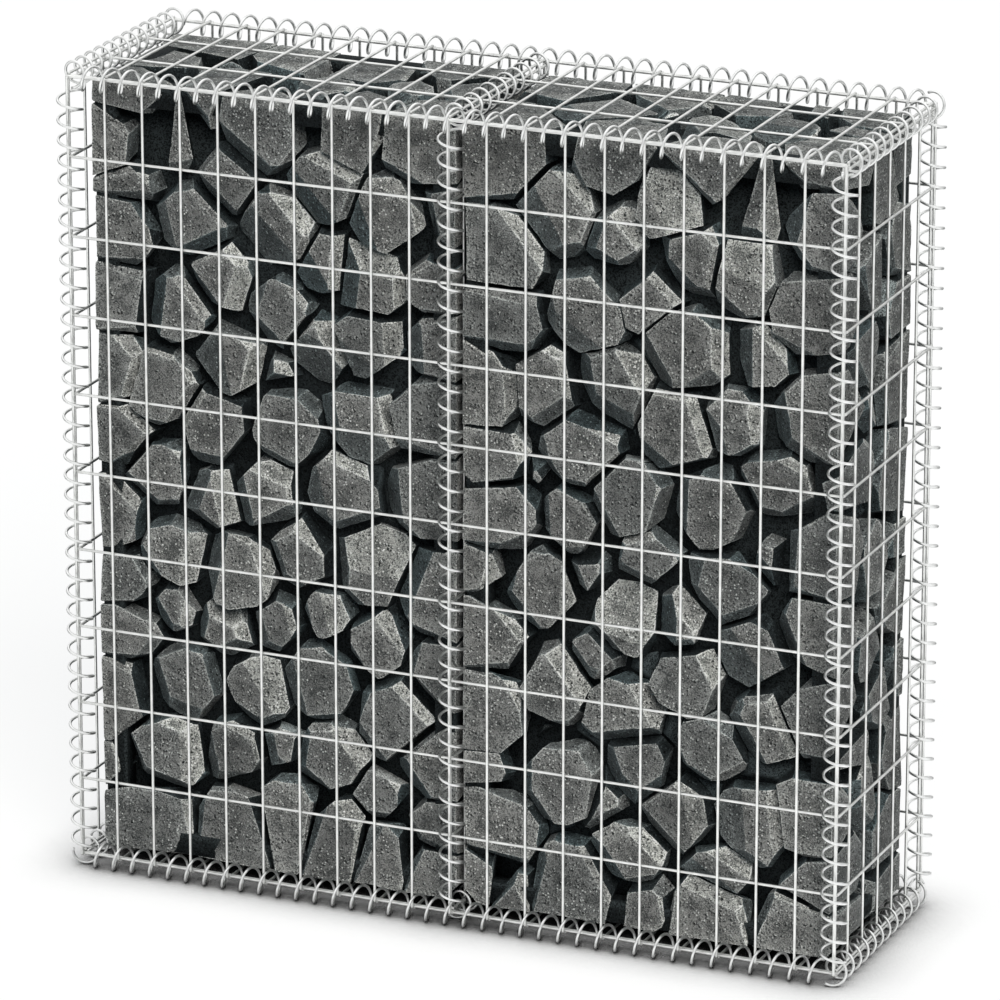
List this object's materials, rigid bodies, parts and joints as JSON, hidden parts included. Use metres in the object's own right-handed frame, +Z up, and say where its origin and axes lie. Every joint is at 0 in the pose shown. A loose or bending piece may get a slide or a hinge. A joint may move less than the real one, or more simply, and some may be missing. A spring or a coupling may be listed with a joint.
{
  "type": "gabion wall section",
  "caption": "Free-standing welded-mesh gabion wall section with wire spirals joining its panels along every edge and a partition, filled with dark broken stone.",
  "frame": {"origin": "Middle of the footprint, on the floor under the lowest turns of the bottom spirals.", "axes": "+X runs along the wall, +Y from the front panel to the back panel across the short depth, +Z up."},
  "size_m": [1.03, 0.3266, 1.0335],
  "materials": {
    "mesh_wire": "bright galvanised wire, satin, slightly uneven zinc grey",
    "spiral_wire": "bright galvanised wire, smooth and a little glossier than the mesh",
    "stone": "broken basalt stone: matt dark grey, small pits and pale specks"
  },
  "bodies": {
    "root": {"front_mesh": "mesh_wire", "back_mesh": "mesh_wire", "left_end_mesh": "mesh_wire", "right_end_mesh": "mesh_wire", "partition_mesh": "mesh_wire", "lid_mesh": "mesh_wire", "base_mesh": "mesh_wire", "front_top_spiral": "spiral_wire", "front_base_spiral": "spiral_wire", "front_left_spiral": "spiral_wire", "front_right_spiral": "spiral_wire", "front_middle_spiral": "spiral_wire", "back_top_spiral": "spiral_wire", "back_base_spiral": "spiral_wire", "back_left_spiral": "spiral_wire", "back_right_spiral": "spiral_wire", "back_middle_spiral": "spiral_wire", "left_top_spiral": "spiral_wire", "left_base_spiral": "spiral_wire", "right_top_spiral": "spiral_wire", "right_base_spiral": "spiral_wire", "middle_top_spiral": "spiral_wire", "middle_base_spiral": "spiral_wire", "left_bay_stones": "stone", "right_bay_stones": "stone"}
  },
  "joints": []
}
